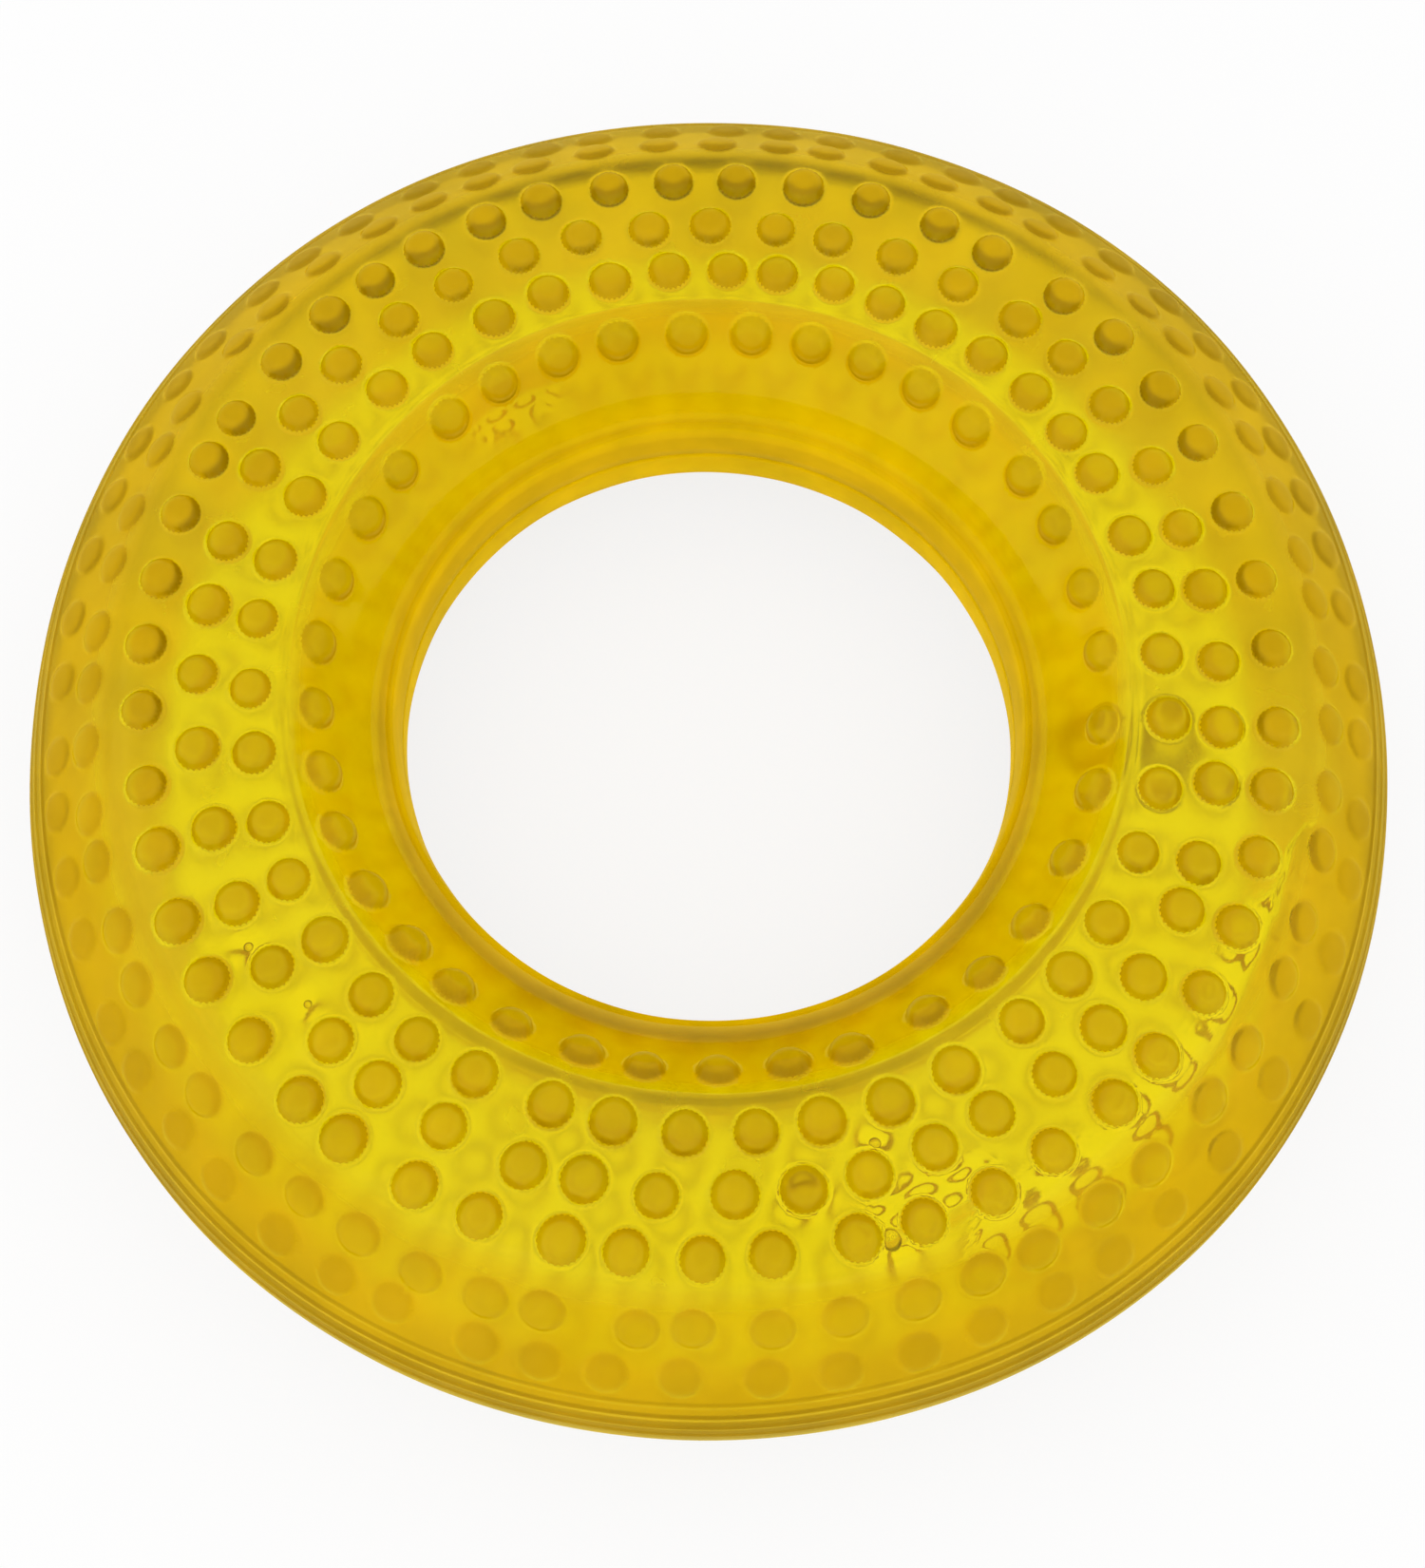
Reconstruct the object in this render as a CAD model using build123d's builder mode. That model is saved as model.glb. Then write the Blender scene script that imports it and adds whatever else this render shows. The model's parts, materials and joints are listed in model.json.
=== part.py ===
from build123d import *
import os
from math import atan2, cos, degrees, pi, radians, sin, sqrt, tan

# Liquid-filled studded ring. Millimetres, +Z up, origin at the ring's centre on the seam plane.
# The tube is two soft half shells that meet at the seam. The lower one is the upper one turned
# over, with a filling port in its floor. Each half has a flat face, a bevel on each side of it
# and a rounded shoulder that runs down into an upright wall at the seam.

# Tube
ring_diameter = 62.4            # across the ring, to the middle of the tube
tube_width = 23.6
tube_height = 21.0              # between the two flat faces, without studs
inner_bevel_run = 5.6           # from the inner wall to the flat face, seen from above
outer_bevel_run = 7.2           # from the outer wall to the flat face, seen from above
inner_shoulder_height = 4.4     # above the seam, where the bevel would meet the upright wall
outer_shoulder_height = 4.7
inner_shoulder_radius = 7.0
outer_shoulder_radius = 6.6
wall = 1.6

# Seam
land_width = 2.6                # thickened rim where the halves are welded, and its height
land_height = 1.6
tongue_width = 0.8
tongue_height = 0.7
weld_clearance = 0.05           # round the tongue in its groove
band_depth = 0.25               # raised band round the hole, over the seam
band_height = 6.8

# Ribs on the outer shoulder
rib_count = 4
rib_radius = 0.3
rib_height = 0.18
rib_pitch = 1.0
first_rib = 0.95                # from the end of the bevel, along the shoulder

# Studs
stud_diameter = 2.7
stud_height = 0.9
stud_root = 0.4                 # how deep a stud is carried into the wall
face_row_pitch = 3.3            # between the rows on the flat face
bevel_row_drop = 2.15           # from the flat face's edge to the first row on a bevel
bevel_row_pitch = 3.1
inner_bevel_count = 36
face_counts = (43, 45, 50)      # inner, middle and outer row
outer_bevel_counts = (60, 60)
first_stud_angles = (4.0, 2.5, 2.0, 3.0, 0.0, 5.5)  # for each row, from the hole outwards

# Filling port and plug, in the lower shell's flat face
port_angle = 0.0
plug_stem_diameter = 3.2
plug_head_diameter = 5.0
plug_head_thickness = 0.7
plug_clearance = 0.05
boss_wall = 1.6                 # round the stem, inside the cavity
boss_height = 1.2               # above the cavity's floor

# Liquid
liquid_gap = 0.1                # between the liquid and everything that holds it
bubble_start = 283.0            # the large air bubble's ends, round the ring
bubble_end = 345.0
bubble_depth = 1.3
bubble_width = 8.0

hole_radius = (ring_diameter - tube_width) / 2
inner_wall = hole_radius + band_depth
outer_wall = (ring_diameter + tube_width) / 2
face_height = tube_height / 2
inner_edge = hole_radius + inner_bevel_run
outer_edge = outer_wall - outer_bevel_run
face_middle = (inner_edge + outer_edge) / 2
inner_slope = atan2(face_height - inner_shoulder_height, inner_edge - inner_wall)
outer_slope = atan2(face_height - outer_shoulder_height, outer_bevel_run)
port_centre = Vector(face_middle * cos(radians(port_angle)), face_middle * sin(radians(port_angle)))
boss_radius = plug_stem_diameter / 2 + boss_wall
port_floor = -face_height + wall + boss_height


def tube_face(inset):
    """The tube's whole cross-section, moved in by inset on every side."""
    with BuildSketch(mode=Mode.PRIVATE) as outline:
        with BuildLine():
            Polyline(
                (inner_wall, -inner_shoulder_height),
                (inner_wall, inner_shoulder_height),
                (inner_edge, face_height),
                (outer_edge, face_height),
                (outer_wall, outer_shoulder_height),
                (outer_wall, -outer_shoulder_height),
                (outer_edge, -face_height),
                (inner_edge, -face_height),
                close=True,
            )
        make_face()
        fillet(outline.vertices().group_by(Axis.X)[0], inner_shoulder_radius)
        fillet(outline.vertices().group_by(Axis.X)[-1], outer_shoulder_radius)
        if inset:
            offset(amount=-inset)
    return outline.sketch


def lands(gap):
    """The two thickened rims of the upper half, from wall to wall, with gap on their free sides."""
    with BuildSketch(mode=Mode.PRIVATE) as rims:
        with Locations((inner_wall, 0)):
            Rectangle(land_width + gap, land_height + gap, align=(Align.MIN, Align.MIN))
        with Locations((outer_wall, 0)):
            Rectangle(land_width + gap, land_height + gap, align=(Align.MAX, Align.MIN))
    return rims.sketch


def tongues(clearance):
    """The weld tongues of both rims, standing on the seam, larger by clearance all round."""
    width = tongue_width + 2 * clearance
    height = tongue_height + clearance
    with BuildSketch(mode=Mode.PRIVATE) as ridges:
        with Locations((inner_wall + land_width / 2, 0), (outer_wall - land_width / 2, 0)):
            Rectangle(width, height, align=(Align.CENTER, Align.MIN))
    return ridges.sketch


def rib_points():
    """Centres of the ribs, in the section, along the arc of the outer shoulder."""
    arc_span = pi / 2 - outer_slope
    centre_x = outer_wall - outer_shoulder_radius
    centre_y = outer_shoulder_height - outer_shoulder_radius * tan(arc_span / 2)
    reach = outer_shoulder_radius + rib_height - rib_radius
    angles = [arc_span - (first_rib + i * rib_pitch) / outer_shoulder_radius for i in range(rib_count)]
    return [(centre_x + reach * cos(a), centre_y + reach * sin(a)) for a in angles]


def stud_rows():
    """Each row of studs: its radius, its height, its lean from upright in degrees, and its count."""
    inner_drop_run = bevel_row_drop * cos(inner_slope)
    inner_drop_fall = bevel_row_drop * sin(inner_slope)
    inner_place = (inner_edge - inner_drop_run, face_height - inner_drop_fall)
    rows = [(*inner_place, -degrees(inner_slope), inner_bevel_count)]
    for i, count in enumerate(face_counts):
        rows.append((face_middle + (i - 1) * face_row_pitch, face_height, 0, count))
    for i, count in enumerate(outer_bevel_counts):
        drop = bevel_row_drop + i * bevel_row_pitch
        radius = outer_edge + drop * cos(outer_slope)
        height = face_height - drop * sin(outer_slope)
        rows.append((radius, height, degrees(outer_slope), count))
    return rows


def stud_places(keep_clear=None):
    """Where the studs stand on the upper half, without those that would foul keep_clear."""
    clear_radius = (plug_head_diameter + stud_diameter) / 2
    places = []
    for first_angle, (radius, height, lean, count) in zip(first_stud_angles, stud_rows()):
        for i in range(count):
            turn = Location((0, 0, 0), (0, 0, first_angle + 360 * i / count))
            place = turn * Location((radius, 0, height), (0, lean, 0))
            foot = Vector(place.position.X, place.position.Y)
            if keep_clear is None or (foot - keep_clear).length > clear_radius:
                places.append(place)
    return places


# A stud is a round dome, the top of a ball, that carries on a little way into the wall.
with BuildPart() as stud:
    with BuildSketch(Plane.XZ):
        with BuildLine():
            ball_radius = ((stud_diameter / 2) ** 2 + stud_height**2) / (2 * stud_height)
            ball_centre = stud_height - ball_radius
            root_radius = sqrt(ball_radius**2 - (ball_centre + stud_root) ** 2)
            tip = (0, stud_height)
            root = (root_radius, -stud_root)
            RadiusArc(root, tip, -ball_radius)
            Polyline(tip, (0, -stud_root), root)
        make_face()
    revolve(axis=Axis.Z)

# The plain half shell: the wall above the seam, with its rims, band and ribs.
with BuildPart() as half_shell:
    with BuildSketch(Plane.XZ):
        add(tube_face(0))
        with Locations(*rib_points()):
            Circle(rib_radius)
        add(tube_face(wall), mode=Mode.SUBTRACT)
        add(lands(0))
        with Locations((hole_radius, 0)):
            Rectangle(band_depth + wall, band_height / 2, align=(Align.MIN, Align.MIN))
        with Locations((hole_radius, 0)):
            Rectangle(tube_width, tube_height, align=(Align.MIN, Align.MIN), mode=Mode.INTERSECT)
    revolve(axis=Axis.Z)

with BuildPart() as upper_shell:
    add(half_shell.part)
    with Locations(*stud_places()):
        add(stud.part)
    with BuildSketch(Plane.XZ):
        add(tongues(weld_clearance))
    revolve(axis=Axis.Z, mode=Mode.SUBTRACT)

with BuildPart() as lower_shell:
    add(half_shell.part)
    with Locations(*stud_places(port_centre)):
        add(stud.part)
    mirror(about=Plane.XY, mode=Mode.REPLACE)
    with BuildSketch(Plane.XZ):
        add(tongues(0))
    revolve(axis=Axis.Z)
    with BuildSketch(Plane.XY.offset(port_floor)):
        with Locations(port_centre):
            Circle(boss_radius)
    extrude(amount=-(boss_height + wall / 2))
    with BuildSketch(Plane.XY.offset(port_floor)):
        with Locations(port_centre):
            Circle(plug_stem_diameter / 2 + plug_clearance)
    extrude(amount=-(boss_height + wall), mode=Mode.SUBTRACT)
    with BuildSketch(Plane.XY.offset(-face_height)):
        with Locations(port_centre):
            Circle(plug_head_diameter / 2 + plug_clearance)
    extrude(amount=plug_head_thickness, mode=Mode.SUBTRACT)

with BuildPart() as fill_plug:
    with BuildSketch(Plane.XY.offset(-face_height)):
        with Locations(port_centre):
            Circle(plug_head_diameter / 2)
    extrude(amount=plug_head_thickness)
    with BuildSketch(Plane.XY.offset(-face_height)):
        with Locations(port_centre):
            Circle(plug_stem_diameter / 2)
    extrude(amount=wall + boss_height)

with BuildPart() as liquid_fill:
    with BuildSketch(Plane.XZ) as liquid_section:
        add(tube_face(wall + liquid_gap))
        rims = lands(liquid_gap)
        add(rims, mode=Mode.SUBTRACT)
        mirror(rims, about=Plane.XZ, mode=Mode.SUBTRACT)
    revolve(axis=Axis.Z)
    with BuildSketch(Plane.XY.offset(port_floor + liquid_gap)):
        with Locations(port_centre):
            Circle(boss_radius + liquid_gap)
    extrude(amount=-(boss_height + wall), mode=Mode.SUBTRACT)
    with BuildSketch(Plane.XZ.rotated((0, 0, bubble_start))):
        with Locations((face_middle, face_height - wall - liquid_gap)):
            Rectangle(bubble_width, 2 * bubble_depth)
    revolve(axis=Axis.Z, revolution_arc=bubble_end - bubble_start, mode=Mode.SUBTRACT)

parts = {
    "upper_shell": upper_shell,
    "lower_shell": lower_shell,
    "fill_plug": fill_plug,
    "liquid_fill": liquid_fill,
}
os.makedirs("parts", exist_ok=True)
for name, piece in parts.items():
    piece.part.label = name
    export_step(piece.part, f"parts/{name}.step")
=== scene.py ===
import json
import math

import bmesh
import bpy
import numpy as np
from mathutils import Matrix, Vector
from mathutils.geometry import delaunay_2d_cdt


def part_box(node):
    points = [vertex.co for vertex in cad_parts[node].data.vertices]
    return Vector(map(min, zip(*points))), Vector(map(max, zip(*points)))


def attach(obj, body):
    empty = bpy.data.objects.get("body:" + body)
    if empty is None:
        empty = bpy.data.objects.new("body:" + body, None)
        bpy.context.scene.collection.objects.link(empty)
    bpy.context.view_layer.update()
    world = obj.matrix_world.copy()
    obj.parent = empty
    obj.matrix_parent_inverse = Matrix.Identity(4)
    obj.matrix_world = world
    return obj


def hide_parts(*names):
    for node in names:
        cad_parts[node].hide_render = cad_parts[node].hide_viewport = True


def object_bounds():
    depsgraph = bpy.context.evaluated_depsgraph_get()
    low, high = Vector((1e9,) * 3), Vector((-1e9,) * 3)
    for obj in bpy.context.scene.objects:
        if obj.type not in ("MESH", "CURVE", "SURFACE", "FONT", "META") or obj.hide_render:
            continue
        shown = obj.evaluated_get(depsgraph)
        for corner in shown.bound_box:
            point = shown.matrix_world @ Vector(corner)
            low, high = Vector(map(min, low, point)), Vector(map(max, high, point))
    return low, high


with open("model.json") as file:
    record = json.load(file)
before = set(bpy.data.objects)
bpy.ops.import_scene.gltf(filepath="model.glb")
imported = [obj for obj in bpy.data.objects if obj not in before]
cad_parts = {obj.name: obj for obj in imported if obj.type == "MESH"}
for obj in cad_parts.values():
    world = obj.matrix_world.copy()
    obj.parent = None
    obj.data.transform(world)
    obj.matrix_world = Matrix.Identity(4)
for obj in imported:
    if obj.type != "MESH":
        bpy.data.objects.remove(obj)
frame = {"record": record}
cad_low, cad_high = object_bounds()
scene = bpy.context.scene


# ---- Sizes, in metres --------------------------------------------------------------------------
# The origin is at the ring's centre, on the seam. The sizes are the CAD model's own, but for the
# ribs, which are lower here.

MM = 0.001
TAU = 2 * math.pi
WELD = 0.006 * MM        # how far pieces that are in contact run into each other, so no air shows

hole_mount = next(m for m in frame["record"]["mounts"] if m["name"] == "hole")
shell_top = float(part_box("upper_shell")[1][2])
plug_low, plug_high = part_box("fill_plug")

# Tube
outer_wall = 43.0 * MM
hole_radius = hole_mount["dims"]["r_mm"] * MM
band_top = hole_mount["dims"]["length_mm"] / 2 * MM
band_depth = 0.25 * MM
inner_wall = hole_radius + band_depth
inner_edge = hole_radius + 5.6 * MM      # the flat face's two edges
outer_edge = outer_wall - 7.2 * MM
inner_shoulder = 4.4 * MM                # height at which a bevel would meet the upright wall
outer_shoulder = 4.7 * MM
inner_shoulder_radius = 7.0 * MM
outer_shoulder_radius = 6.6 * MM
wall = 1.6 * MM
land_width = 2.6 * MM                    # thickened rim where the halves are welded
land_height = 1.6 * MM

# Studs and ribs
stud_height = 0.9 * MM
stud_radius = 1.35 * MM
rib_count = 4
rib_radius = 0.3 * MM
rib_height = 0.07 * MM
rib_pitch = 1.0 * MM
first_rib = 0.95 * MM

face_height = shell_top - stud_height
face_middle = (inner_edge + outer_edge) / 2
ring_middle = (outer_wall + hole_radius) / 2
inner_slope = math.atan2(face_height - inner_shoulder, inner_edge - inner_wall)
outer_slope = math.atan2(face_height - outer_shoulder, outer_wall - outer_edge)

# Plug
plug_centre = (Vector(plug_low) + Vector(plug_high)) / 2
plug_azimuth = math.atan2(plug_centre.y, plug_centre.x)
plug_head_radius = (plug_high[0] - plug_low[0]) / 2
plug_head_height = 0.7 * MM
plug_stem_radius = 1.6 * MM
plug_height = float(plug_high[2] - plug_low[2])
boss_floor = 0.3 * MM                    # what is left of the boss beyond the stem's end
stem_length = plug_height - boss_floor
boss_radius = plug_stem_radius + wall
boss_height = 1.2 * MM


# ---- The tube's section ------------------------------------------------------------------------

def rounded(corners, step=0.08 * MM):
    """Points along an open line of (radius, height, corner radius), with its corners rounded."""
    points = [np.array(corners[0][:2])]
    for before, here, after in zip(corners, corners[1:], corners[2:]):
        a, b, c = (np.array(p[:2]) for p in (before, here, after))
        to_a = (a - b) / np.linalg.norm(a - b)
        to_c = (c - b) / np.linalg.norm(c - b)
        half = math.acos(float(np.clip(to_a @ to_c, -1, 1))) / 2
        to_middle = (to_a + to_c) / np.linalg.norm(to_a + to_c)
        centre = b + to_middle * here[2] / math.sin(half)
        start = b + to_a * here[2] / math.tan(half) - centre
        sweep = math.pi - 2 * half
        turn = 1 if start[0] * to_c[1] - start[1] * to_c[0] > 0 else -1
        for angle in np.linspace(0, turn * sweep, max(3, math.ceil(here[2] * sweep / step))):
            spin = np.array([[math.cos(angle), -math.sin(angle)], [math.sin(angle), math.cos(angle)]])
            points.append(centre + spin @ start)
    points.append(np.array(corners[-1][:2]))
    return np.array(points)


class Section:
    """A line in the radius and height plane, measured along its length, with the tube on its right."""

    def __init__(self, corners):
        self.points = rounded(corners)
        steps = np.linalg.norm(np.diff(self.points, axis=0), axis=1)
        self.along = np.concatenate(([0], np.cumsum(steps)))
        self.length = float(self.along[-1])

    def at(self, s):
        """Radius and height at the lengths s."""
        return np.interp(s, self.along, self.points[:, 0]), np.interp(s, self.along, self.points[:, 1])

    def normal(self, s, reach=0.06 * MM):
        """Unit normals at the lengths s, pointing out of the tube."""
        r0, z0 = self.at(np.maximum(s - reach, 0))
        r1, z1 = self.at(np.minimum(s + reach, self.length))
        size = np.hypot(r1 - r0, z1 - z0)
        return -(z1 - z0) / size, (r1 - r0) / size

    def nearest(self, r, z):
        """The length along the line that lies nearest to a point."""
        s = np.linspace(0, self.length, 8001)
        here_r, here_z = self.at(s)
        return float(s[np.argmin(np.hypot(here_r - r, here_z - z))])


def inset_corners(inset, radii):
    """Corners of the tube's upper half, moved in by inset: inner shoulder to outer shoulder."""
    def meet(slope):
        return inset * math.tan(slope / 2)
    return [
        (inner_wall + inset, inner_shoulder - meet(math.pi / 2 - inner_slope), radii[0]),
        (inner_edge + meet(inner_slope), face_height - inset, radii[1]),
        (outer_edge - meet(outer_slope), face_height - inset, radii[2]),
        (outer_wall - inset, outer_shoulder - meet(math.pi / 2 - outer_slope), radii[3]),
    ]


skin_edge_radii = (0.35 * MM, 3.0 * MM)      # of the flat face's inner and outer edge
lining_edge_radii = (0.5 * MM, 2.4 * MM)     # of the same edges inside
land_edge_radius = 0.3 * MM
land_foot_radius = 0.2 * MM


def lining_section(inset, foot):
    """The inside of a half shell, with the two rims where the halves are welded, from height foot."""
    rim = inset - wall
    radii = (inner_shoulder_radius - wall, *lining_edge_radii, outer_shoulder_radius - wall)
    return Section([
        (inner_wall + land_width + rim, foot, 0),
        (inner_wall + land_width + rim, land_height + rim, land_edge_radius),
        (inner_wall + inset, land_height + rim, land_foot_radius),
        *inset_corners(inset, radii),
        (outer_wall - inset, land_height + rim, land_foot_radius),
        (outer_wall - land_width - rim, land_height + rim, land_edge_radius),
        (outer_wall - land_width - rim, foot, 0),
    ])


skin = Section([
    (inner_wall, -WELD / 2, 0),
    *inset_corners(0, (inner_shoulder_radius, *skin_edge_radii, outer_shoulder_radius)),
    (outer_wall, -WELD / 2, 0),
])
lining = lining_section(wall, -WELD / 2)
liquid_side = lining_section(wall - WELD, 0)


# ---- Studs -------------------------------------------------------------------------------------

first_row_drop = 2.15 * MM       # from the flat face's edge down a bevel
second_row_drop = 5.25 * MM
face_row_pitch = 3.3 * MM
turn_error = 0.5                 # how far a stud tends to stand from its place: degrees round the
place_error = 0.09 * MM          # ring, and along the section
size_loss = 0.09                 # the most that a stud is smaller than stud_radius, as a share
port_margin = 1.3 * stud_radius  # from the plug's head to the middle of the nearest stud, at least


def on_inner_bevel(drop):
    """Radius and height at a distance down the inner bevel."""
    return inner_edge - drop * math.cos(inner_slope), face_height - drop * math.sin(inner_slope)


def on_outer_bevel(drop):
    """Radius and height at a distance down the outer bevel."""
    return outer_edge + drop * math.cos(outer_slope), face_height - drop * math.sin(outer_slope)


stud_rows = [
    # radius and height of the row, number of studs, first angle, how far it wanders in degrees
    # (cosine and sine, once and twice round the ring), and its studs' share of the full height
    (on_inner_bevel(first_row_drop), 36, 3.2, (0.0, 1.7, 0.8, 0.9), 0.9),
    ((face_middle - face_row_pitch, face_height), 43, -1.3, (2.1, -1.5, 1.4, 1.3), 1.0),
    ((face_middle, face_height), 45, 4.2, (-1.6, -3.2, -0.7, 1.5), 1.0),
    ((face_middle + face_row_pitch, face_height), 50, 4.4, (-1.4, 1.9, -1.2, 0.7), 1.0),
    (on_outer_bevel(first_row_drop), 60, 0.0, (0.3, 0.4, 0.8, 0.4), 0.4),
    (on_outer_bevel(second_row_drop), 60, 5.3, (0.3, 0.4, 0.8, 0.4), 0.25),
]


def dome(t):
    """Height of a stud at t times its radius from its middle: nearly flat on top, steep at its rim."""
    return stud_height * (1 - t**4) ** 0.8


def stud_rings(share):
    """Rings of points that shape a stud: distance from its middle, height, number of points."""
    rings = [(1.02, 0.05 * MM, 24), (1.09, 0.01 * MM, 24), (1.24, 0, 22)]
    for t, count in ((0.96, 24), (0.88, 22), (0.76, 20), (0.6, 16), (0.42, 12), (0.22, 7), (0, 1)):
        rings.append((t, dome(t), count))
    return [(t * stud_radius, share * lift, count) for t, lift, count in rings]


def stud_places(rng, keep_clear=None):
    """(azimuth, length along the skin, scale, rings) of every stud, each a little out of true."""
    places = []
    for (radius, height), count, first, (c1, s1, c2, s2), share in stud_rows:
        s = skin.nearest(radius, height)
        for k in range(count):
            even = math.radians(first + 360 * k / count)
            wander = (c1 * math.cos(even) + s1 * math.sin(even)
                      + c2 * math.cos(2 * even) + s2 * math.sin(2 * even))
            azimuth = even + math.radians(wander + rng.normal(0, turn_error))
            across = s + rng.normal(0, place_error)
            scale = 1 - rng.uniform(0, size_loss)
            foot = Vector((radius * math.cos(azimuth), radius * math.sin(azimuth)))
            if keep_clear is None or (foot - keep_clear).length > plug_head_radius + port_margin:
                places.append((azimuth % TAU, across, scale, stud_rings(share)))
    return places


# ---- Filling port ------------------------------------------------------------------------------
# Rings of points, as for a stud. The port is sunk into the skin, and the boss stands on the lining.

port_radius = plug_head_radius - WELD
stem_hole_radius = plug_stem_radius - WELD
port_rings = [
    (port_radius + 0.5 * MM, 0, 48),
    (port_radius + 0.12 * MM, 0, 56),
    (port_radius + 0.03 * MM, -0.03 * MM, 56),
    (port_radius, -0.12 * MM, 56),
    (port_radius - 0.01 * MM, -plug_head_height + WELD, 56),
    (stem_hole_radius + 0.1 * MM, -plug_head_height + WELD, 36),
    (stem_hole_radius, -plug_head_height - 0.1 * MM, 36),
    (stem_hole_radius - 0.01 * MM, -stem_length + WELD, 36),
    (stem_hole_radius / 2, -stem_length + WELD, 12),
    (0, -stem_length + WELD, 1),
]
boss_rings = [
    (boss_radius + 0.5 * MM, 0, 40),
    (boss_radius + 0.12 * MM, -0.03 * MM, 44),
    (boss_radius, -0.15 * MM, 44),
    (boss_radius - 0.02 * MM, -boss_height + 0.15 * MM, 44),
    (boss_radius - 0.14 * MM, -boss_height, 44),
    (boss_radius / 2, -boss_height, 16),
    (0, -boss_height, 1),
]


# ---- Band, ribs and the uneven skin ------------------------------------------------------------

band_edge = 0.12 * MM            # width of the step at the band's edge
hollow_depth = 0.07 * MM
hollow_fade = 1.5 * MM           # from the seam to where the hollows have their full depth

shoulder_run = outer_shoulder_radius * math.tan((math.pi / 2 - outer_slope) / 2)
shoulder_start = skin.nearest(outer_wall - shoulder_run * math.cos(outer_slope),
                              outer_shoulder + shoulder_run * math.sin(outer_slope))
rib_places = [shoulder_start + first_rib + i * rib_pitch for i in range(rib_count)]


def slow_waves(azimuth, s, rng, count=14, fewest=3, most=22, slant=0.35):
    """A slow uneven field between 0 and 1 that closes round the ring, made of slanting waves."""
    total = np.zeros_like(azimuth)
    for _ in range(count):
        turns = rng.integers(fewest, most)
        lean = rng.uniform(-slant, slant) * s / MM
        total += np.cos(turns * azimuth + lean + rng.uniform(0, TAU))
    return np.clip(0.5 + total / count, 0, 1)


def skin_relief(azimuth, s, rng):
    """Band round the hole, ribs on the outer shoulder, and slow hollows in the soft skin, in one."""
    band = band_depth * np.clip((band_top - s) / band_edge + 0.5, 0, 1)
    ribs = np.zeros_like(s)
    for place in rib_places:
        off = np.clip(np.abs(s - place), 0, rib_radius)
        ribs = np.maximum(ribs, np.sqrt(rib_radius**2 - off**2) - rib_radius + rib_height)
    ends = np.clip(np.minimum(s, skin.length - s) / hollow_fade, 0, 1)
    hollows = hollow_depth * slow_waves(azimuth, s, rng) * ends
    return band + ribs - hollows


# ---- Surfaces ----------------------------------------------------------------------------------

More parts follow.
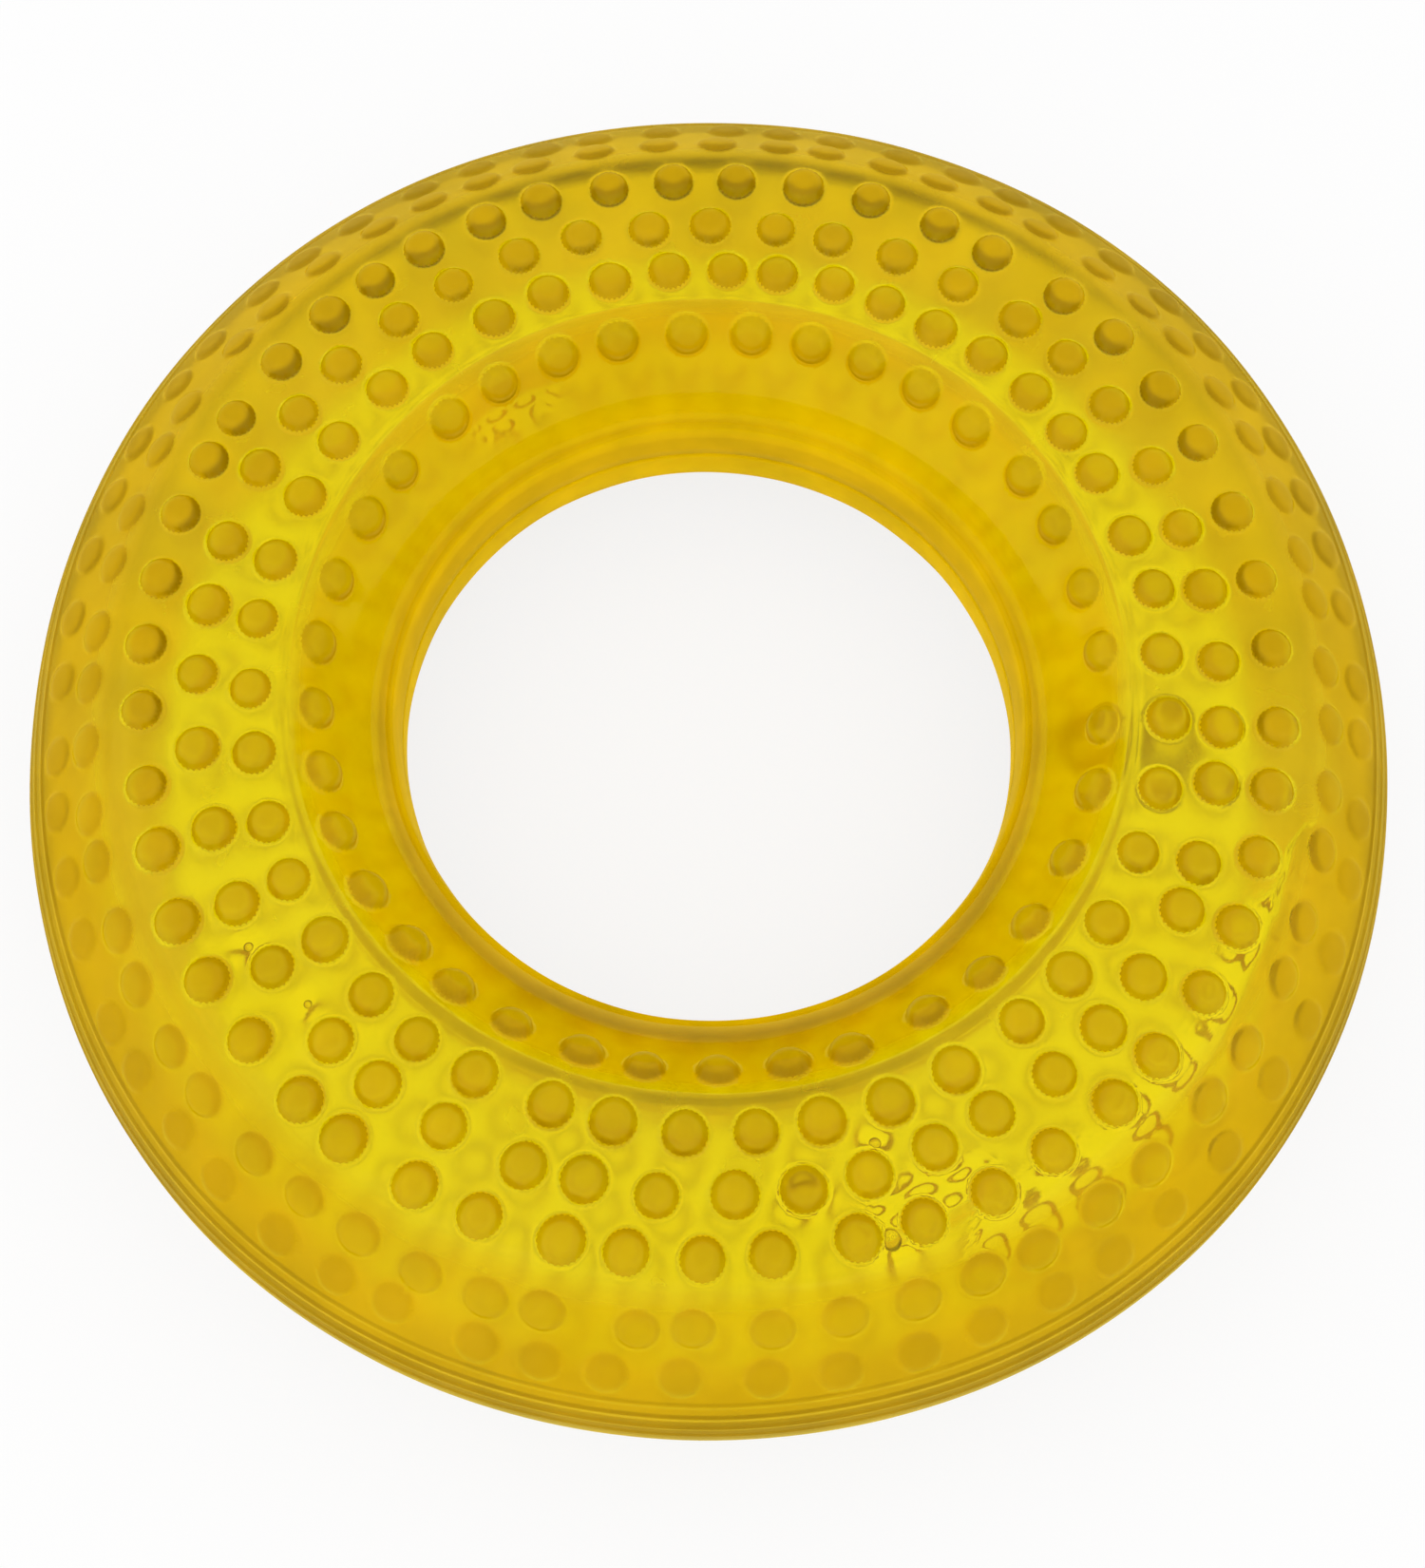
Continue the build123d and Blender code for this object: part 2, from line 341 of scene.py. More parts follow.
class Surface:
    """A surface of revolution with round features on it, as points and triangles.

    It is laid out flat, azimuth across and length along the section up, with more room at the
    places in dense: a length along the section, half the width there, and how much more room. A
    margin past each end of the turn is laid out too and folded back, so that the turn closes.
    Every point but those on the two open edges is nudged a little, so that the layout has one
    answer.
    """

    grid_gap = 0.1 * MM          # between the outermost ring of a feature and the grid
    raised_from = 0.015 * MM     # lift from which a point counts as part of a stud
    nudge_around = 0.02          # the most that a point is nudged, in millimetres
    nudge_along = 0.001
    margin = 8 * MM              # laid out past each end of the turn

    def __init__(self, section, columns, row_step, rng, features=(), dense=(), relief=None):
        s_grid, w_grid = self.stretched(section, dense)
        rows = 2 * round(w_grid[-1] / row_step / 2)
        row, column = np.divmod(np.arange((rows + 1) * columns), columns)
        azimuth = TAU * (column + 0.5 * (row % 2)) / columns
        s = np.interp(w_grid[-1] * row / rows, w_grid, s_grid)

        free = np.ones(len(s), bool)
        parts = []
        for centre, place, scale, rings in features:
            radius = float(section.at(place)[0])
            reach = max(ring[0] for ring in rings) * scale
            apart = (azimuth - centre + math.pi) % TAU - math.pi
            free &= np.hypot(apart * radius, s - place) > reach + self.grid_gap
            parts += self.feature(centre, place, scale, rings, radius)

        first_row = row == 0
        last_row = row == rows
        between = free & ~first_row & ~last_row
        grid = [np.stack([azimuth[keep], s[keep], np.zeros(keep.sum())])
                for keep in (first_row, last_row, between)]
        azimuth, s, lift = np.concatenate([*grid, *parts], axis=1)
        raised = lift > self.raised_from
        self.first = np.arange(columns)
        self.last = np.arange(columns, 2 * columns)
        inner = slice(2 * columns, None)
        count = len(s) - 2 * columns
        azimuth[inner] += rng.uniform(-1, 1, count) * self.nudge_around * MM / ring_middle
        s[inner] += rng.uniform(-1, 1, count) * self.nudge_along * MM

        self.azimuth = azimuth
        self.s = s
        self.triangles = self.lay_out(azimuth, np.interp(s, s_grid, w_grid))
        self.on_stud = raised[self.triangles].all(axis=1)
        if relief is not None:
            lift = lift + relief(azimuth, s)
        r, z = section.at(s)
        normal_r, normal_z = section.normal(s)
        r = r + normal_r * lift
        self.points = np.stack([r * np.cos(azimuth), r * np.sin(azimuth), z + normal_z * lift], axis=1)

    @staticmethod
    def stretched(section, dense):
        """Lengths along the section, and the same lengths with more room at the dense places."""
        s_grid = np.linspace(0, section.length, 4001)
        rate = np.ones_like(s_grid)
        for place, half, times in dense:
            rate = np.where(np.abs(s_grid - place) < half, np.maximum(rate, times), rate)
        w_grid = np.concatenate(([0], np.cumsum((rate[1:] + rate[:-1]) / 2 * np.diff(s_grid))))
        return s_grid, w_grid

    @staticmethod
    def feature(centre, place, scale, rings, radius):
        """Azimuth, length along the section and lift of the points in a feature's rings."""
        parts = []
        for number, (distance, lift, count) in enumerate(rings):
            angle = TAU * (np.arange(count) + 0.5 * (number % 2)) / count
            parts.append(np.stack([
                (centre + distance * scale * np.sin(angle) / radius) % TAU,
                place + distance * scale * np.cos(angle),
                np.full(count, lift * scale),
            ]))
        return parts

    @classmethod
    def lay_out(cls, azimuth, w):
        """Triangles between points laid out flat, once round the ring."""
        around = TAU * ring_middle
        u = (azimuth % TAU) * ring_middle
        at_start = u < cls.margin
        at_end = u > around - cls.margin
        source = np.concatenate([np.arange(len(u)), np.nonzero(at_start)[0], np.nonzero(at_end)[0]])
        shift = np.concatenate([np.zeros(len(u)), np.full(at_start.sum(), around),
                                np.full(at_end.sum(), -around)])
        flat = np.stack([u[source] + shift, w[source]], axis=1)
        made = delaunay_2d_cdt([Vector(p) for p in flat], [], [], 0, 1e-10)
        origin = np.array([o[0] for o in made[3]])
        faces = origin[np.array(made[2])]
        middle = flat[faces, 0].mean(axis=1)
        return source[faces[(middle >= 0) & (middle < around)]]


# Where the skin turns sharply, half the width there, and how much more room it gets.
skin_creases = [(skin.nearest(inner_edge, face_height), 0.3 * MM, 4),
                (skin.nearest(outer_edge, face_height), 0.8 * MM, 1.5),
                (band_top, 0.25 * MM, 6),
                *[(place, 0.45 * MM, 6) for place in rib_places]]


def lining_creases(section):
    """The same for the lining: the weld rims and the two edges of the flat face."""
    corners = [(inner_wall + land_width, land_height), (inner_wall + wall, land_height),
               (outer_wall - wall, land_height), (outer_wall - land_width, land_height),
               (inner_edge, face_height - wall), (outer_edge, face_height - wall)]
    return [(section.nearest(*corner), 0.5 * MM, 4) for corner in corners]


# ---- Closed meshes -----------------------------------------------------------------------------
# The soft ring lies a little out of round. Its rim sags towards -y, is narrower from side to side
# and slightly square, and its hole is stretched along a slant.

rim_inset = 0.25 * MM
rim_sag = 0.2 * MM
rim_oval = 0.3 * MM
rim_square = 0.25 * MM
hole_stretch = 0.15 * MM
hole_slant = np.radians(-22)


def out_of_round(points):
    """The points of a round ring, moved in or out to the shape that the soft ring lies in."""
    azimuth = np.arctan2(points[:, 1], points[:, 0])
    radius = np.hypot(points[:, 0], points[:, 1])
    rim_shift = -rim_inset - rim_sag * np.sin(azimuth)
    rim_shift -= rim_oval * np.cos(2 * azimuth) + rim_square * np.cos(4 * azimuth)
    hole_shift = hole_stretch * np.cos(2 * (azimuth - hole_slant))
    across = np.clip((radius - hole_radius) / (outer_wall - hole_radius), 0, 1)
    scale = 1 + ((1 - across) * hole_shift + across * rim_shift) / radius
    return points * np.stack([scale, scale, np.ones_like(scale)], axis=1)


def solid(name, points, faces, finishes=None, clear=None):
    """A mesh object of a closed surface, with points that fall together joined into one.

    finishes numbers the material of each face, where there is more than one, and clear is kept
    for each point, for the materials to read.
    """
    mesh = bpy.data.meshes.new(name)
    corners = [tuple(int(i) for i in face) for face in faces]
    mesh.from_pydata(out_of_round(points).tolist(), [], corners)
    if finishes is not None:
        mesh.polygons.foreach_set("material_index", finishes)
    if clear is not None:
        kept = mesh.attributes.new("clear", "FLOAT", "POINT")
        kept.data.foreach_set("value", clear.astype(np.float32))
    work = bmesh.new()
    work.from_mesh(mesh)
    bmesh.ops.remove_doubles(work, verts=work.verts, dist=1e-4 * MM)
    work.to_mesh(mesh)
    work.free()
    mesh.shade_smooth()
    piece = bpy.data.objects.new(name, mesh)
    scene.collection.objects.link(piece)
    return piece


def strip(near, far):
    """Faces between two rings of as many points each."""
    count = len(near)
    return [(near[k], near[(k + 1) % count], far[(k + 1) % count], far[k]) for k in range(count)]


def turned_faces(count, rings):
    """Faces of a closed turned body: one point, rings of count points each, and one last point."""
    last = 1 + rings * count
    faces = []
    for k in range(count):
        after = (k + 1) % count
        faces.append((0, 1 + after, 1 + k))
        faces.append((last, last - count + k, last - count + after))
        for ring in range(rings - 1):
            here = 1 + ring * count
            faces.append((here + k, here + after, here + count + after, here + count + k))
    return faces


def turned_over(points, faces):
    """The upper half's points and faces as the lower half's."""
    return points * (1, 1, -1), [face[::-1] for face in faces]


# ---- Trapped air -------------------------------------------------------------------------------

pocket_depth = 0.8 * MM
air_pockets = [
    # azimuth in degrees, millimetres past the flat face's outer edge, half length in degrees,
    # half width in millimetres
    (292, -3.0, 7.0, 1.6),
    (303, 0.8, 10.0, 2.6),
    (316, 1.6, 12.0, 3.4),
    (330, 1.2, 10.0, 3.0),
    (340, 1.6, 6.0, 2.0),
    (123, -13.6, 8.0, 1.5),
]

bubble_flatness = 0.8            # a bubble's height, as a share of its size
bubble_sinking = 0.42            # how far its middle lies under the lining, as a share of its size
bubbles = [
    # azimuth in degrees, radius and size in millimetres
    (287.0, 34.0, 1.3),
    (288.5, 28.9, 0.7),
    (280.0, 30.6, 1.2),
    (212.0, 31.0, 0.6),
    (221.0, 30.0, 0.5),
]


def degrees_apart(azimuth, centre):
    """Degrees from centre to azimuth, the short way round."""
    return (np.degrees(azimuth) - centre + 180) % 360 - 180


def in_air(section, inset, azimuth, s):
    """How far inside a pocket of air a place under the skin is: 1 in its middle, 0 at its edge."""
    outer_crease = section.nearest(outer_edge, face_height - inset)
    inside = np.full_like(s, -1.0)
    for centre, past, half_length, half_width in air_pockets:
        across = (s - outer_crease) / MM - past
        along = degrees_apart(azimuth, centre)
        inside = np.maximum(inside, 1 - (along / half_length) ** 2 - (across / half_width) ** 2)
    return inside


def air_relief(azimuth, s):
    """How far air keeps the liquid off the lining, inwards."""
    return -pocket_depth * np.sqrt(np.clip(in_air(liquid_side, wall, azimuth, s), 0, 1))


def dry_lining(surface):
    """Where the lining is bare and clear: 1 over the trapped air, half at its edge, 0 elsewhere."""
    dry = in_air(lining, wall, surface.azimuth, surface.s)
    radius = lining.at(surface.s)[0] / MM
    for azimuth, bubble_radius, size in bubbles:
        around = np.radians(degrees_apart(surface.azimuth, azimuth)) * bubble_radius
        away = np.hypot(around, radius - bubble_radius)
        patch_radius = 0.9 * size + 0.5
        dry = np.maximum(dry, 1 - away / patch_radius)
    return np.clip(0.5 + 2 * dry, 0, 1)


def bubble(azimuth, radius, size, count=20, rings=11):
    """Points and faces of a round hollow in the liquid, just under the lining, facing into itself."""
    turn = TAU * np.arange(count) / count
    parts = [np.stack([np.sin(a) * np.cos(turn), np.sin(a) * np.sin(turn),
                       np.full(count, bubble_flatness * np.cos(a))], axis=1)
             for a in np.linspace(0, math.pi, rings + 2)[1:-1]]
    points = np.concatenate([[(0, 0, bubble_flatness)], *parts, [(0, 0, -bubble_flatness)]])
    centre = (radius * math.cos(azimuth), radius * math.sin(azimuth),
              face_height / MM - wall / MM - size * bubble_sinking)
    return points * size / 2 * MM + np.array(centre) * MM, turned_faces(count, rings)


# ---- Half shells -------------------------------------------------------------------------------

SKIN, LINING, STUD, UPRIGHT = 0, 1, 2, 3     # a face's finish, in the order of the materials
shell_columns = 270              # points of the grid once round the ring
shell_row = 0.72 * MM            # from one row of the grid to the next


def half_shell(name, seed, port):
    """A half shell: studded skin, lining and weld faces, closed. The one with the port is turned over."""
    rng = np.random.default_rng(seed)
    keep_clear = plug_centre.to_2d() if port else None
    features = stud_places(rng, keep_clear)
    bosses = []
    if port:
        features.append((plug_azimuth, skin.nearest(face_middle, face_height), 1, port_rings))
        bosses.append((plug_azimuth, lining.nearest(face_middle, face_height - wall), 1, boss_rings))
    outer = Surface(skin, shell_columns, shell_row, rng, features, skin_creases,
                    lambda azimuth, s: skin_relief(azimuth, s, rng))
    inner = Surface(lining, shell_columns, shell_row, rng, bosses, lining_creases(lining))

    after = len(outer.points)
    points = np.concatenate([outer.points, inner.points])
    faces = [tuple(face[::-1]) for face in outer.triangles]
    faces += [tuple(face + after) for face in inner.triangles]
    faces += strip(outer.first, inner.first + after)
    faces += strip(inner.last + after, outer.last)
    if port:
        points, faces = turned_over(points, faces)

    place = outer.s[outer.triangles].max(axis=1)
    outer_finishes = np.full(len(outer.triangles), SKIN)
    outer_finishes[outer.on_stud] = STUD
    outer_finishes[(place < band_top) | (place > rib_places[-1])] = UPRIGHT
    finishes = np.full(len(faces), SKIN)
    finishes[:len(outer.triangles)] = outer_finishes
    finishes[len(outer.triangles):len(outer.triangles) + len(inner.triangles)] = LINING
    clear = np.zeros(len(points))
    if not port:
        clear[after:] = dry_lining(inner)
    return solid(name, points, faces, finishes, clear)


# ---- Liquid ------------------------------------------------------------------------------------

liquid_columns = 420
top_row = 0.5 * MM               # finer on top, for the air pockets' edges
bottom_row = 0.7 * MM


def liquid_body():
    """The liquid, closed, with the air pockets pressed into its top and the bubbles inside it."""
    rng = np.random.default_rng(13)
    boss = (plug_azimuth, liquid_side.nearest(face_middle, face_height - wall), 1, boss_rings)
    creases = lining_creases(liquid_side)
    top = Surface(liquid_side, liquid_columns, top_row, rng, (), creases, air_relief)
    bottom = Surface(liquid_side, liquid_columns, bottom_row, rng, [boss], creases)
    parts = [(top.points, [tuple(face[::-1]) for face in top.triangles]),
             turned_over(bottom.points, [tuple(face[::-1]) for face in bottom.triangles])]
    parts += [bubble(math.radians(azimuth), radius, size) for azimuth, radius, size in bubbles]
    points = np.concatenate([part[0] for part in parts])
    starts = np.cumsum([0] + [len(part[0]) for part in parts])
    faces = [tuple(np.array(face) + start)
             for part, start in zip(parts, starts) for face in part[1]]
    return solid("liquid", points, faces)


# ---- Plug --------------------------------------------------------------------------------------

dimple_depth = 0.25 * MM
dimple_radius = 1.1 * MM
dimple_floor_radius = 0.7 * MM


def lathe(name, corners, count=96):
    """A closed turned piece about the upright axis through the plug, from an outline on that axis."""
    outline = rounded(corners)
    angle = TAU * np.arange(count) / count
    points = [(0, 0, outline[0][1])]
    for r, z in outline[1:-1]:
        points += [(r * math.cos(a), r * math.sin(a), z) for a in angle]
    points.append((0, 0, outline[-1][1]))
    points = np.array(points) + (plug_centre.x, plug_centre.y, 0)
    return solid(name, points, turned_faces(count, len(outline) - 2))


def filling_plug():
    """A stepped plug: a flat head with a round dimple in it, and a stem that fills the port."""
    low = float(plug_low[2])
    return lathe("plug", [
        (0, low + dimple_depth, 0),
        (dimple_floor_radius, low + dimple_depth, 0.5 * MM),
        (dimple_radius, low, 0.3 * MM),
        (plug_head_radius, low, 0.25 * MM),
        (plug_head_radius, low + plug_head_height, 0.08 * MM),
        (plug_stem_radius, low + plug_head_height, 0.08 * MM),
        (plug_stem_radius, low + stem_length, 0.05 * MM),
        (0, low + stem_length, 0),
    ])


# ---- Nodes for materials -----------------------------------------------------------------------

def new_material(name):
    """A material with an empty node tree, and the tree."""
    material = bpy.data.materials.new(name)
    material.use_nodes = True
    tree = material.node_tree
    tree.nodes.clear()
    return material, tree


def node(tree, kind, inputs=None, **settings):
    """A new node, with each of its inputs linked to a socket or set to a value."""
    made = tree.nodes.new(kind)
    for key, value in settings.items():
        setattr(made, key, value)
    for key, value in (inputs or {}).items():
        if isinstance(value, bpy.types.NodeSocket):
            tree.links.new(value, made.inputs[key])
        else:
            made.inputs[key].default_value = value
    return made


def noise(tree, size, detail=2.0):
    """A cloudy field with features about size metres across."""
    place = node(tree, "ShaderNodeTexCoord").outputs["Object"]
    inputs = {"Vector": place, "Scale": 1 / size, "Detail": detail}
    return node(tree, "ShaderNodeTexNoise", inputs).outputs["Fac"]


def ramp(tree, value, low, high, start=0.3, end=0.7, shape="LINEAR"):
    """A value that goes from low to high as another goes from start to end."""
    inputs = {"Value": value, "From Min": start, "From Max": end, "To Min": low, "To Max": high}
    return node(tree, "ShaderNodeMapRange", inputs, interpolation_type=shape).outputs["Result"]


def blend_colour(tree, value, low, high):
    """A colour that goes from low to high as a value goes from 0 to 1."""
    inputs = {"Factor": value, "A": (*low, 1), "B": (*high, 1)}
    return node(tree, "ShaderNodeMix", inputs, data_type="RGBA").outputs["Result"]


# ---- Materials ---------------------------------------------------------------------------------
# Every piece is clear and coloured in its depth. Milk stands for the cloudiness of the soft skin; its
# colour also holds painted light and shade, lighter on the wall of the hole, darker towards the rim and
# on the studs, and lighter on the underside.

DEPTH_COLOUR = (0.998, 0.992, 0.0)
SOFT_YELLOW = ((1.0, 0.985, 0.3), (1.0, 0.97, 0.2))

# Milk colours with painted light and shade: the upper skin's is lighter on the wall of the hole and
# darker towards the rim, the studs' is darker, the underside's is lighter.
# On the wall of the hole, on the inner bevel and the flat face, and from there to the rim
UPPER_MILK_PAINTED_SHADING = ((0.90, 0.57, 0.0), (0.76, 0.41, 0.0), (0.66, 0.37, 0.0))
# The studs' milk is darker on the face than the skin's: painted shade.
STUD_MILK_PAINTED_SHADE = ((0.90, 0.57, 0.0), (0.64, 0.36, 0.0), (0.66, 0.37, 0.0))
LOWER_MILK_PAINTED_LIGHT = ((0.90, 0.57, 0.0), (0.99, 0.66, 0.0), (0.99, 0.74, 0.0))
WALL_SHARE = 0.8                 # how milky the wall of the hole is
BLOTCH_SIZE = 5 * MM
BLOTCHES = (0.86, 1.1)           # darkest and brightest blotch of the milk


def milk_and_painted_shading_zones(colours, on_bevel, on_face, on_rim):
    """Radius, colour and share of the milk, from the wall of the hole to the rim, with light and shade
    painted into the colours.
    """
    wall_colour, bevel_colour, rim_colour = colours
    return [
        (inner_wall + 0.1 * MM, wall_colour, WALL_SHARE),
        (inner_wall + 1.2 * MM, bevel_colour, on_bevel),
        (inner_edge - 1.0 * MM, bevel_colour, on_bevel),
        (inner_edge, bevel_colour, on_face),
        (outer_edge - 0.8 * MM, bevel_colour, on_face),
        (outer_edge + 1.0 * MM, rim_colour, on_rim),
    ]


def milk_and_painted_shading_by_radius(tree, zones):
    """The blotched colour of the milk, with its painted light and shade, and how milky the surface is,
    from the hole outwards.
    """
    place = node(tree, "ShaderNodeTexCoord").outputs["Object"]
    flat = {0: place, 1: (1, 1, 0)}
    level = node(tree, "ShaderNodeVectorMath", flat, operation="MULTIPLY").outputs["Vector"]
    radius = node(tree, "ShaderNodeVectorMath", {0: level}, operation="LENGTH").outputs["Value"]
    across = ramp(tree, radius, 0.0, 1.0, hole_radius, outer_wall)
    milk = node(tree, "ShaderNodeValToRGB", {"Fac": across})
    stops = milk.color_ramp.elements
    while len(stops) < len(zones):
        stops.new(0.5)
    for stop, (zone_radius, colour, share) in zip(stops, zones):
        stop.position = (zone_radius - hole_radius) / (outer_wall - hole_radius)
        stop.color = (*colour, share)
    blotched = {0: milk.outputs["Color"], "Scale": ramp(tree, noise(tree, BLOTCH_SIZE, 3), *BLOTCHES)}
    colour = node(tree, "ShaderNodeVectorMath", blotched, operation="SCALE")
    return colour.outputs["Vector"], milk.outputs["Alpha"]


def clear_material(name, patch, roughness, grain, tints=SOFT_YELLOW, ior=1.5, bump=0.004 * MM,
                   density=400.0, milk=None, through=0.0, dry=False):
    """A clear coloured material: uneven tint and roughness, a fine grain, and depth of colour.

    Its milk scatters light instead of letting it through, and a part of that, through, scatters it
    onwards; the milk's colour holds painted light and shade. Where it is dry, it is clear over the
    trapped air.
    """
    material, tree = new_material(name)
    tint = blend_colour(tree, ramp(tree, noise(tree, patch), 0, 1), *tints)
    rough = ramp(tree, noise(tree, patch / 3, 3), *roughness)
    if dry:
        bare = node(tree, "ShaderNodeAttribute", attribute_name="clear").outputs["Fac"]
        clearness = ramp(tree, bare, 1.0, 0.1, 0.0, 1.0)
        rough = node(tree, "ShaderNodeMath", {0: rough, 1: clearness}, operation="MULTIPLY").outputs[0]
    relief = {"Height": noise(tree, grain, 3), "Strength": 1.0, "Distance": bump}
    normal = node(tree, "ShaderNodeBump", relief).outputs["Normal"]
    glass = {"Color": tint, "Roughness": rough, "Normal": normal, "IOR": ior}
    surface = node(tree, "ShaderNodeBsdfGlass", glass).outputs[0]
    depth = {"Color": (*DEPTH_COLOUR, 1), "Density": density}
    volume = node(tree, "ShaderNodeVolumeAbsorption", depth).outputs[0]
    if milk:
        # The milk's colour, set by radius, holds painted light and shade.
        colour, share = milk_and_painted_shading_by_radius(tree, milk)
        scattered = {"Color": colour, "Normal": normal}
        cloud = node(tree, "ShaderNodeBsdfDiffuse", scattered).outputs[0]
        if through:
            onwards = node(tree, "ShaderNodeBsdfTranslucent", scattered).outputs[0]
            cloud = node(tree, "ShaderNodeMixShader", {0: through, 1: cloud, 2: onwards}).outputs[0]
        surface = node(tree, "ShaderNodeMixShader", {0: share, 1: surface, 2: cloud}).outputs[0]
    node(tree, "ShaderNodeOutputMaterial", {"Surface": surface, "Volume": volume})
    return material


# Upper skin: milk painted lighter on the wall of the hole and darker towards the rim.
skin_material = clear_material(
    "soft_yellow_skin", patch=9 * MM, roughness=(0.05, 0.09), grain=0.9 * MM,
    milk=milk_and_painted_shading_zones(UPPER_MILK_PAINTED_SHADING, on_bevel=0.5, on_face=0.08, on_rim=0.5))
# Underside: milk painted lighter than the upper skin's, as painted light.
underside_material = clear_material(
    "soft_yellow_underside", patch=9 * MM, roughness=(0.05, 0.09), grain=0.9 * MM,
    milk=milk_and_painted_shading_zones(LOWER_MILK_PAINTED_LIGHT, on_bevel=0.5, on_face=0.1, on_rim=0.9), through=0.9)
# Studs: rougher, with a darker tint and more, darker milk on the face, which is painted shade that shows
# them as darker discs.
stud_material = clear_material(
    "frosted_yellow_stud_painted_shade", patch=9 * MM, roughness=(0.16, 0.22), grain=0.5 * MM,
    tints=((0.86, 0.82, 0.3), (0.80, 0.75, 0.2)), bump=0.006 * MM,
    milk=milk_and_painted_shading_zones(STUD_MILK_PAINTED_SHADE, on_bevel=0.5, on_face=0.45, on_rim=0.5))
lining_material = clear_material(
    "cloudy_yellow_lining", patch=9 * MM, roughness=(0.22, 0.28), grain=0.9 * MM, dry=True)
lower_lining_material = clear_material(
    "wet_yellow_lining", patch=9 * MM, roughness=(0.10, 0.14), grain=0.9 * MM)
liquid_material = clear_material(
    "yellow_liquid", patch=7 * MM, roughness=(0.0, 0.02), grain=3 * MM,
    tints=((1.0, 0.99, 0.6), (1.0, 0.98, 0.5)), ior=1.33, density=200.0)
plug_material = clear_material(
    "yellow_plug", patch=2 * MM, roughness=(0.06, 0.10), grain=0.5 * MM)


# ---- The pieces --------------------------------------------------------------------------------

# Materials of a half shell's skin, lining, studs and upright walls
upper_finishes = [skin_material, lining_material, stud_material, skin_material]
lower_finishes = [underside_material, lower_lining_material, underside_material, skin_material]
pieces = [
    (half_shell("upper_skin", 11, port=False), "upper_shell", "shell", upper_finishes),
    (half_shell("lower_skin", 12, port=True), "lower_shell", "shell", lower_finishes),
    (liquid_body(), "liquid_fill", "liquid", [liquid_material]),
    (filling_plug(), "fill_plug", "plug", [plug_material]),
]
for piece, cad_node, slot, finishes in pieces:
    for finish in finishes:
        piece.data.materials.append(finish)
    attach(piece, "root")
    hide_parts(cad_node)


# ---- Floor and world ---------------------------------------------------------------------------
# The ring is lit from below by what shows through it: a white glow, brightest along glow_way.

lit_strength = 0.95              # of the world as a lamp
glow_tilt = math.radians(19)
glow_way = (0, math.sin(glow_tilt), -math.cos(glow_tilt))
glow_shape = (0.65, 1, 1)        # below 1, the glow reaches further that way
glow_core = math.radians(14)
glow_edge = math.radians(42)
glow_dim = 0.8                   # how bright it still is outside its edge
above_start = -0.6               # steepness from which the glow gives way to plain white, level at 0
floor_share = 0.82               # how much of the floor's own white is seen, the rest being lit paint
floor_drop = 0.02 * MM


def light_path_mix(tree, shown, lit):
    """Shows one shader to the camera, directly or through gloss and glass, and lights with the other."""
    path = node(tree, "ShaderNodeLightPath").outputs
    seen = path["Is Camera Ray"]
    for kind in ("Is Glossy Ray", "Is Transmission Ray"):
        seen = node(tree, "ShaderNodeMath", {0: seen, 1: path[kind]}, operation="MAXIMUM").outputs[0]
    return node(tree, "ShaderNodeMixShader", {0: seen, 1: lit, 2: shown}).outputs[0]


def studio_world():
    """A white studio, with the glow below."""
    world = bpy.data.worlds.new("studio")
    scene.world = world
    world.use_nodes = True
    tree = world.node_tree
    tree.nodes.clear()
    way = node(tree, "ShaderNodeTexCoord").outputs["Generated"]
    narrowed = node(tree, "ShaderNodeVectorMath", {0: way, 1: glow_shape}, operation="MULTIPLY")
    pointed = node(tree, "ShaderNodeVectorMath", {0: narrowed.outputs["Vector"]}, operation="NORMALIZE")
    aimed = {0: pointed.outputs["Vector"], 1: glow_way}
    towards = node(tree, "ShaderNodeVectorMath", aimed, operation="DOT_PRODUCT").outputs["Value"]
    glow = ramp(tree, towards, glow_dim, 1.0, math.cos(glow_edge), math.cos(glow_core), "SMOOTHSTEP")
    height = node(tree, "ShaderNodeSeparateXYZ", {"Vector": way}).outputs["Z"]
    above = ramp(tree, height, 0.0, 1.0, above_start, 0.0)
    strength = node(tree, "ShaderNodeMath", {0: glow, 1: above}, operation="MAXIMUM").outputs[0]
    shown = node(tree, "ShaderNodeBackground", {"Color": (1, 1, 1, 1), "Strength": strength})
    lit = node(tree, "ShaderNodeBackground", {"Color": (1, 1, 1, 1), "Strength": lit_strength})
    mixed = light_path_mix(tree, shown.outputs[0], lit.outputs[0])
    node(tree, "ShaderNodeOutputWorld", {"Surface": mixed})


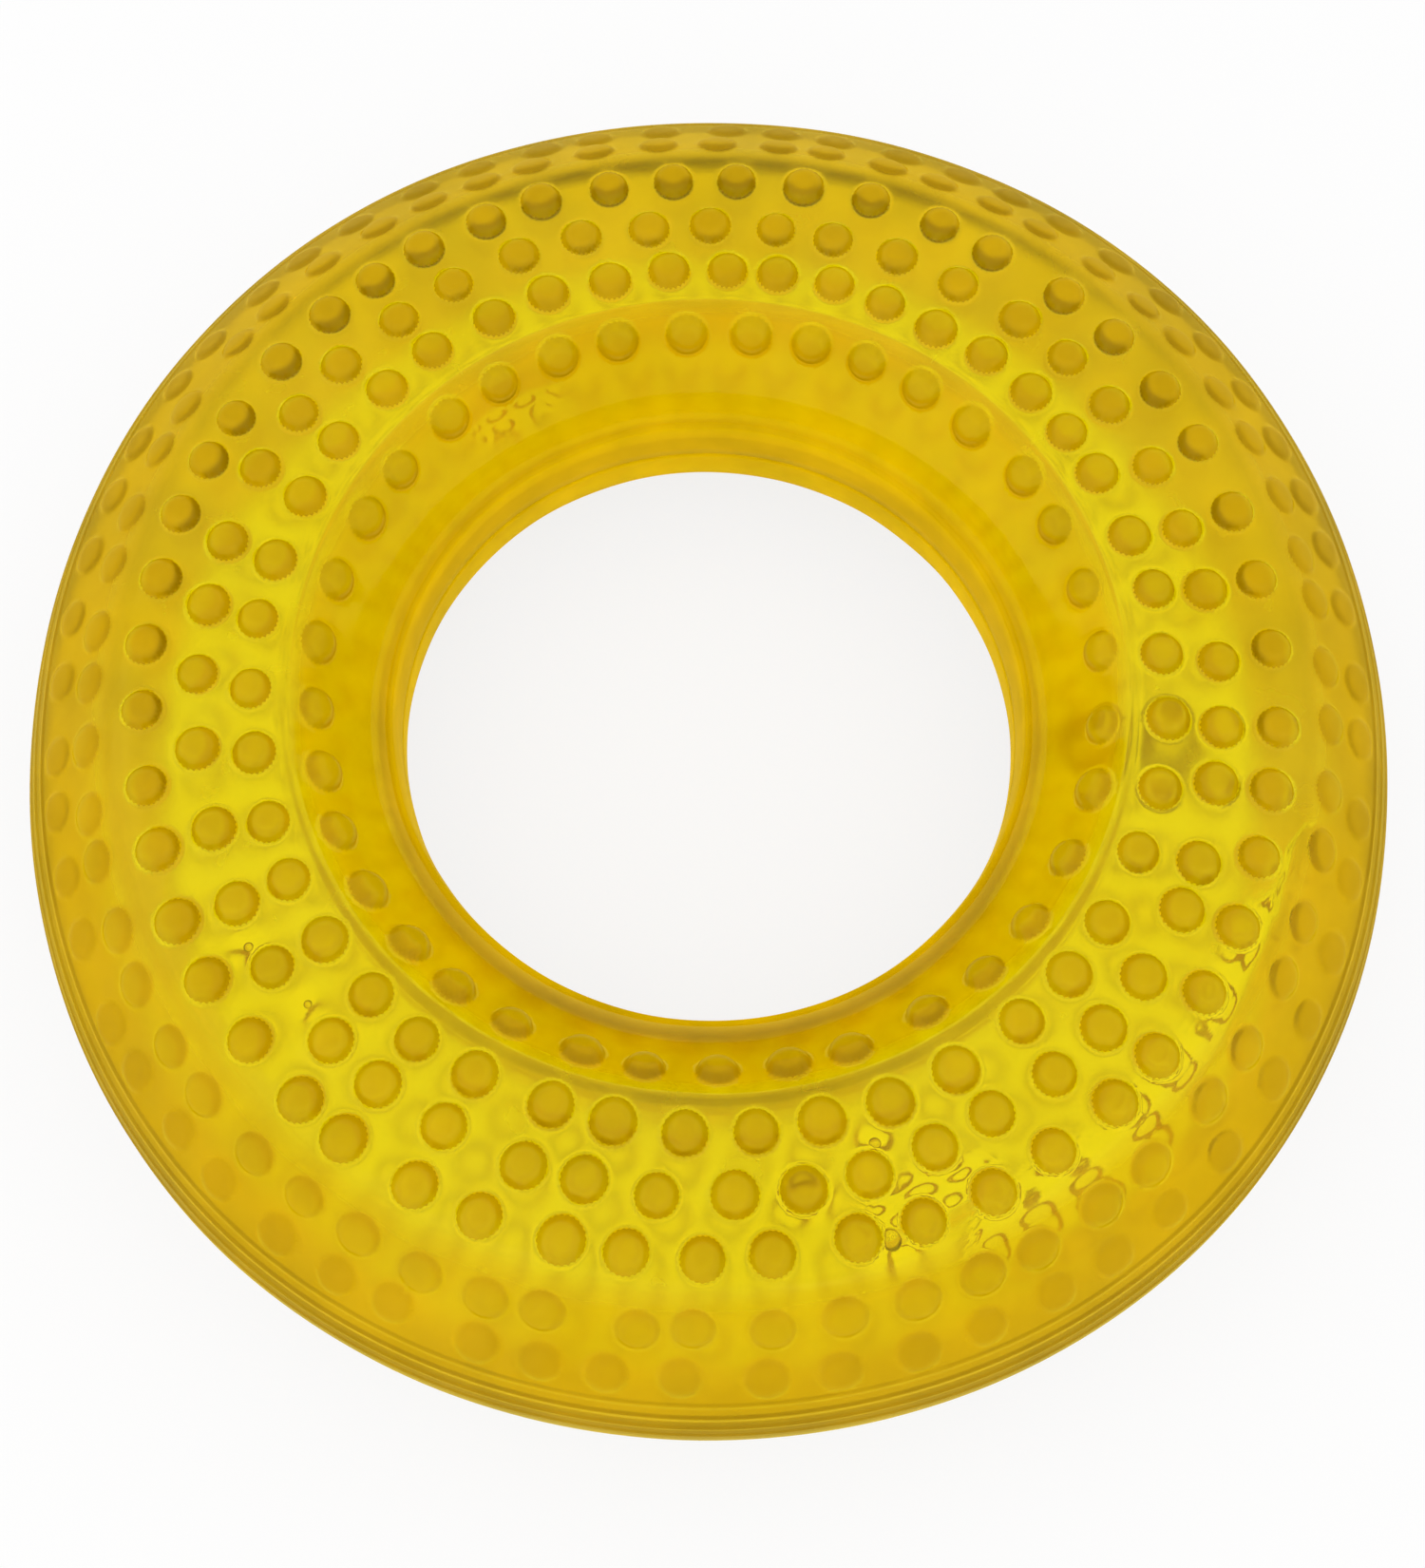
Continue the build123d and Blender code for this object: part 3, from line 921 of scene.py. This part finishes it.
def pale_floor():
    """A white floor just under the ring, which doesn't dim the light that comes from below."""
    material, tree = new_material("pale_floor")
    paint = node(tree, "ShaderNodeBsdfDiffuse", {"Color": (0.9, 0.9, 0.9, 1)}).outputs[0]
    white = node(tree, "ShaderNodeEmission", {"Color": (1, 1, 1, 1), "Strength": 1.0}).outputs[0]
    pale = node(tree, "ShaderNodeMixShader", {0: floor_share, 1: paint, 2: white}).outputs[0]
    node(tree, "ShaderNodeOutputMaterial", {"Surface": light_path_mix(tree, pale, paint)})
    bpy.ops.mesh.primitive_plane_add(size=4, location=(0, 0, float(cad_low[2]) - floor_drop))
    floor = bpy.context.object
    floor.name = "floor"
    floor.visible_transmission = False
    floor.visible_diffuse = False
    floor.visible_shadow = False
    floor.data.materials.append(material)
    return floor


studio_world()
floor = pale_floor()


# ---- Lamps and camera --------------------------------------------------------------------------

camera_elevation = math.radians(71.3)
camera_distance = 131 * MM
camera_lens = 47.15
camera_shift = (0.0024, -0.0364)
camera_clip = 0.005


def aim_at_ring(thing, way, distance):
    """Stands a lamp or a camera off in a direction from the ring, looking back at it."""
    thing.location = distance * Vector(way)
    thing.rotation_mode = "QUATERNION"
    thing.rotation_quaternion = (-thing.location).to_track_quat("-Z", "Y")
    scene.collection.objects.link(thing)


def area_light(name, azimuth, elevation, distance, size, power):
    """A soft square lamp aimed at the ring, placed by its direction from it in degrees."""
    data = bpy.data.lights.new(name, "AREA")
    data.size = size
    data.energy = power
    lamp = bpy.data.objects.new(name, data)
    a, e = math.radians(azimuth), math.radians(elevation)
    aim_at_ring(lamp, (math.cos(a) * math.cos(e), math.sin(a) * math.cos(e), math.sin(e)), distance)


def photo_camera():
    """A camera placed as the photograph's was, in front of the ring and high above it."""
    data = bpy.data.cameras.new("camera")
    data.lens = camera_lens
    data.shift_x, data.shift_y = camera_shift
    data.clip_start = camera_clip
    camera = bpy.data.objects.new("camera", data)
    aim_at_ring(camera, (0, -math.cos(camera_elevation), math.sin(camera_elevation)), camera_distance)
    return camera


area_light("key", azimuth=215, elevation=42, distance=0.6, size=1.0, power=0.9)
area_light("fill", azimuth=-40, elevation=50, distance=0.7, size=0.5, power=0.3)
scene.camera = photo_camera()

scene.view_settings.view_transform = "Standard"

# Light goes through many clear walls, and back and forth between them, before it leaves the ring.
scene.cycles.max_bounces = 48
scene.cycles.transmission_bounces = 48
scene.cycles.glossy_bounces = 48
scene.cycles.diffuse_bounces = 12
